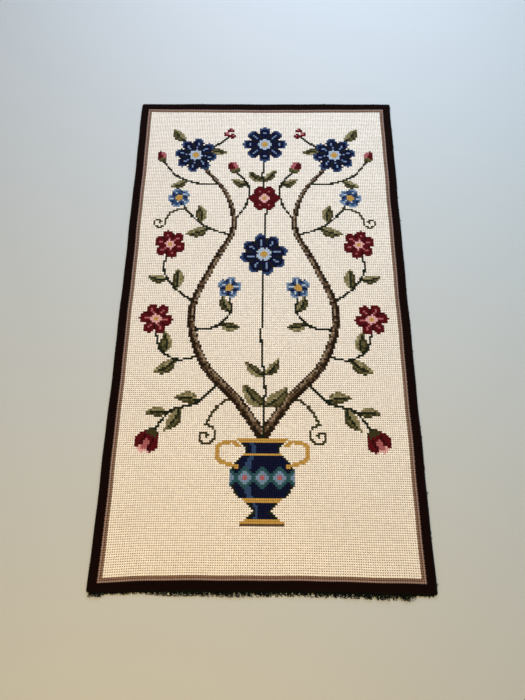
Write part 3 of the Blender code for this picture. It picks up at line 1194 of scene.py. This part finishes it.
class RUG_OT_edge(bpy.types.Operator):
    """Wrap the edge in dark wool and leave its yarn ends"""

    bl_idname = "rug.edge"
    bl_label = "Wrapped edge"

    def execute(self, context):
        colour = tuple(context.scene.rug_colours.edge)
        material = dark_yarn_material("edge_wool", colour, (1.2, 1.2, 1.2))
        finish_piece(make_edge_wraps(), material)
        finish_piece(make_edge_nubs(), material)
        return {"FINISHED"}


class RUG_OT_fringe(bpy.types.Operator):
    """Sew the curly fringe under the near edge"""

    bl_idname = "rug.fringe"
    bl_label = "Near fringe"

    def execute(self, context):
        colour = tuple(context.scene.rug_colours.fringe)
        material = dark_yarn_material("fringe_wool", colour, (1.3, 1.4, 1.3))
        finish_piece(make_fringe_yarn(), material)
        finish_piece(make_fringe_hairs(), material)
        heading = finish_piece(make_fringe_heading(), material)
        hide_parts("near_fringe")
        return {"FINISHED"}


class RUG_OT_cloth(bpy.types.Operator):
    bl_idname = "rug.cloth"
    bl_label = "Cut size of the cloth"

    def execute(self, context):
        if not all(name in bpy.data.objects for name in WORKED_PIECES):
            raise RuntimeError("The cloth is declared after every piece worked on it.")
        return {"FINISHED"}


# The camera as the photo was taken: a phone held over the near end of the rug
CAMERA_HEIGHT = 1.2264
CAMERA_ACROSS = 0.0090
CAMERA_ALONG = -0.5884
CAMERA_TILT = math.radians(20.808)
CAMERA_YAW = math.radians(1.321)
CAMERA_ROLL = math.radians(-0.931)
FOCAL_PIXELS = 526.0
PHOTO_LONG_SIDE = 700
SENSOR = 36.0

# The plain floor, and the strength of the light from all round
FLOOR_SIDE = 16
ROOM_LIGHT = 0.40


def area_light(name, spot, target, size, watts, colour):
    data = bpy.data.lights.new(name, "AREA")
    data.shape = "RECTANGLE"
    data.size, data.size_y = size
    data.energy = watts
    data.color = colour
    made = bpy.data.objects.new(name, data)
    made.location = spot
    way = Vector(target) - Vector(spot)
    made.rotation_euler = way.to_track_quat("-Z", "Y").to_euler()
    made.visible_camera = False
    bpy.context.scene.collection.objects.link(made)


def floor_material():
    material, _, shader = new_material("pale_floor", 0.75, 0.5)
    shader.inputs["Base Color"].default_value = (0.50, 0.53, 0.52, 1.0)
    return material


class RUG_OT_stage(bpy.types.Operator):
    """Lay the pale floor, light it softly and set the camera"""

    bl_idname = "rug.stage"
    bl_label = "Floor, lights and camera"

    def execute(self, context):
        scene = context.scene
        bpy.ops.object.select_all(action="DESELECT")
        bpy.ops.mesh.primitive_plane_add(size=FLOOR_SIDE)
        floor = context.object
        floor.name = "floor"
        floor.data.materials.append(floor_material())

        world = bpy.data.worlds.new("soft_room")
        world.use_nodes = True
        background = world.node_tree.nodes["Background"]
        background.inputs["Color"].default_value = (1.0, 0.95, 0.84, 1.0)
        background.inputs["Strength"].default_value = ROOM_LIGHT
        scene.world = world
        scene.view_settings.view_transform = "Standard"
        scene.cycles.denoising_prefilter = "FAST"

        area_light("window", (0.2, 1.75, 1.25), (0, 0.2, 0), (1.8, 1.0), 36, (0.66, 0.76, 1.0))
        area_light("ceiling", (0, 0.1, 1.5), (0, 0, 0), (1.0, 1.0), 6.2, (1.0, 1.0, 1.0))
        area_light("side_sky", (1.0, 0.6, 1.0), (0.3, 0.3, 0), (1.0, 1.0), 2.2, (0.05, 0.6, 1.0))
        area_light("lamp", (-0.3, -1.35, 1.3), (0, -0.5, 0), (1.0, 0.8), 11.5, (1.0, 0.56, 0.0))

        data = bpy.data.cameras.new("photo_camera")
        data.sensor_width = SENSOR
        data.lens = FOCAL_PIXELS * SENSOR / PHOTO_LONG_SIDE
        data.clip_start = 0.01
        camera = bpy.data.objects.new("photo_camera", data)
        turn = Matrix.Rotation(CAMERA_YAW, 4, "Z") @ Matrix.Rotation(CAMERA_TILT, 4, "X")
        turn = turn @ Matrix.Rotation(CAMERA_ROLL, 4, "Z")
        spot = (CAMERA_ACROSS + SHIFT_X, CAMERA_ALONG + SHIFT_Y, CAMERA_HEIGHT)
        camera.matrix_world = Matrix.Translation(spot) @ turn
        scene.collection.objects.link(camera)
        scene.camera = camera
        return {"FINISHED"}


class RUG_PT_panel(bpy.types.Panel):
    """The rug's colours, sizes and pieces"""

    bl_label = "Rug"
    bl_idname = "RUG_PT_panel"
    bl_space_type = "VIEW_3D"
    bl_region_type = "UI"
    bl_category = "Rug"

    def draw(self, context):
        layout = self.layout
        for name in RugSizes.__annotations__:
            layout.prop(context.scene.rug_sizes, name)
        for name in WOOLS:
            layout.prop(context.scene.rug_colours, name)
        for operator in PIECES:
            layout.operator(operator.bl_idname)


PIECES = (RUG_OT_canvas, RUG_OT_stitches, RUG_OT_edge, RUG_OT_fringe, RUG_OT_cloth, RUG_OT_stage)
CLASSES = (RugColours, RugSizes, *PIECES, RUG_PT_panel)


def register():
    for each in CLASSES:
        bpy.utils.register_class(each)
    bpy.types.Scene.rug_colours = bpy.props.PointerProperty(type=RugColours)
    bpy.types.Scene.rug_sizes = bpy.props.PointerProperty(type=RugSizes)


def unregister():
    del bpy.types.Scene.rug_sizes
    del bpy.types.Scene.rug_colours
    for each in reversed(CLASSES):
        bpy.utils.unregister_class(each)


def main():
    register()
    bpy.ops.rug.canvas()
    bpy.ops.rug.stitches()
    bpy.ops.rug.edge()
    bpy.ops.rug.fringe()
    bpy.ops.rug.cloth()
    bpy.ops.rug.stage()


if __name__ == "__main__":
    main()
